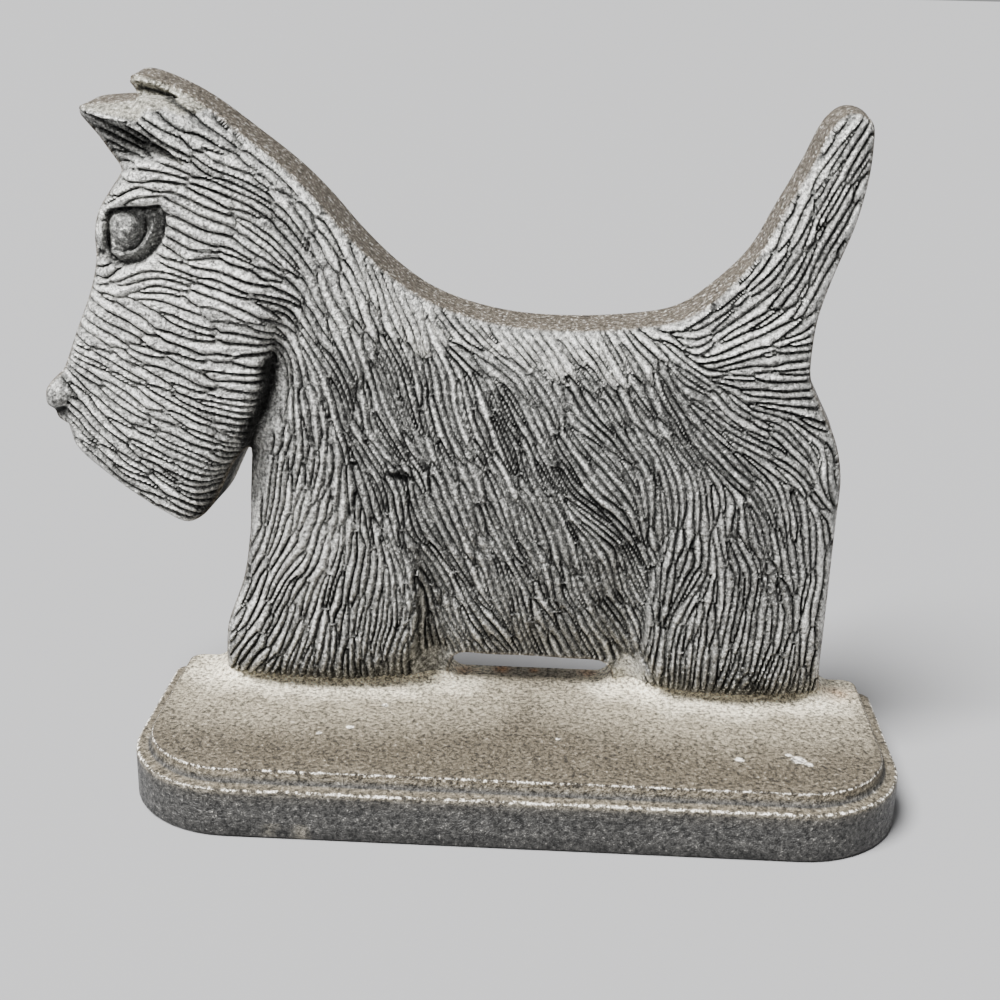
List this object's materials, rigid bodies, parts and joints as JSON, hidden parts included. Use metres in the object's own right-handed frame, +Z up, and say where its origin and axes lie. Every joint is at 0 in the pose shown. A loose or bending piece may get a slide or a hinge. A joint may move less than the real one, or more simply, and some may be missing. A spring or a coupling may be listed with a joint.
{
  "type": "cast iron dog statue",
  "caption": "Flat-backed cast iron relief of a standing terrier with upright tail, on a stepped plinth with rounded front corners; a doorstop or shelf ornament.",
  "frame": {"origin": "centre of the plinth's underside", "axes": "+X towards the dog's tail, +Y towards its flat back, +Z up"},
  "size_m": [0.1703, 0.052, 0.1364],
  "materials": {
    "cast_iron": "sand cast, dark patina, worn edges"
  },
  "bodies": {
    "root": {"terrier_on_plinth": "cast_iron"}
  },
  "joints": []
}
